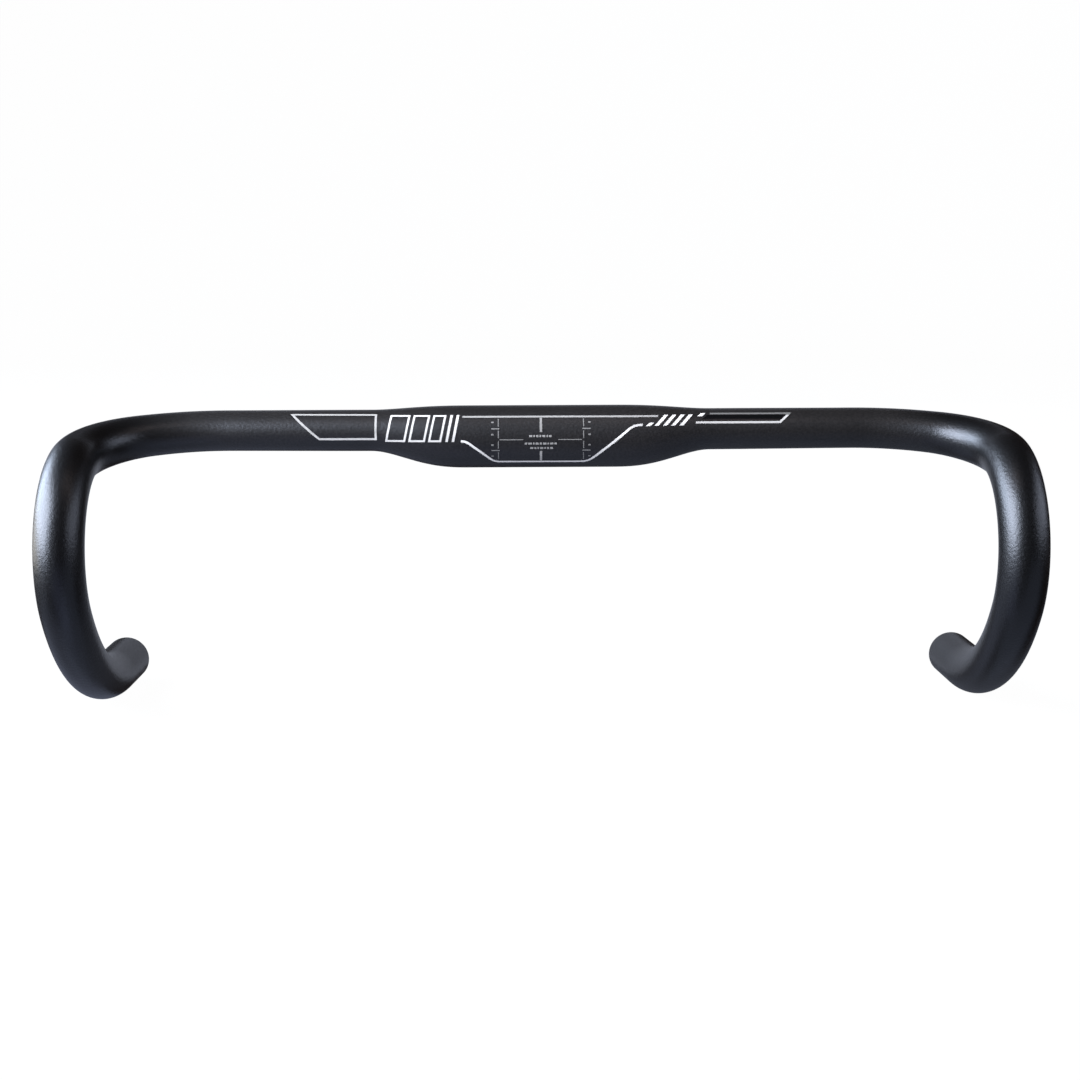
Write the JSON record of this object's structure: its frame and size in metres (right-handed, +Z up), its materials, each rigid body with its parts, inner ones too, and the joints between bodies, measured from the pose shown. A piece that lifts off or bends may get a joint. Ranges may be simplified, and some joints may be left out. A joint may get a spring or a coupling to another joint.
{
  "type": "drop handlebar",
  "caption": "Compact drop handlebar bent from one butted alloy tube: oversize clamp bulge, pressed oval tops, tight corners, variable-radius hooks and level drops with push-in end plugs.",
  "frame": {"origin": "centre of the 31.8 mm stem clamp zone", "axes": "+X along the clamp axis to the right as seen from the front of the bicycle; -Y forward, the way the hooks reach; +Z up, with the straight ends of the drops level"},
  "size_m": [0.4786, 0.1433, 0.1537],
  "materials": {
    "bar_black": "satin black anodised over a fine shot-peened grain",
    "plug_black": "matt moulded black, fine texture",
    "white_ink": "white ink under satin lacquer",
    "silver_ink": "silver grey ink under satin lacquer",
    "grey_ink": "mid grey ink under satin lacquer",
    "black_ink": "gloss black ink"
  },
  "bodies": {
    "bar": {"bar_tube": "bar_black", "print_left_panel_line": "white_ink", "print_left_bars": "white_ink", "print_upper_line": "white_ink", "print_lower_line": "white_ink", "print_centre_mark": "silver_ink", "print_level_line": "grey_ink", "print_left_scale": "grey_ink", "print_right_scale": "grey_ink", "print_centre_dashes": "grey_ink", "print_right_bars": "white_ink", "print_pointer_line": "white_ink", "print_pointer_fill": "black_ink"},
    "right_plug": {"right_end_plug": "plug_black"},
    "left_plug": {"left_end_plug": "plug_black"}
  },
  "joints": [
    {"name": "right_plug_pull", "type": "slide", "parent": "bar", "child": "right_plug", "axis": [0, 1, 0], "range_m": [0, 0.03]},
    {"name": "left_plug_pull", "type": "slide", "parent": "bar", "child": "left_plug", "axis": [0, 1, 0], "range_m": [0, 0.03]}
  ]
}
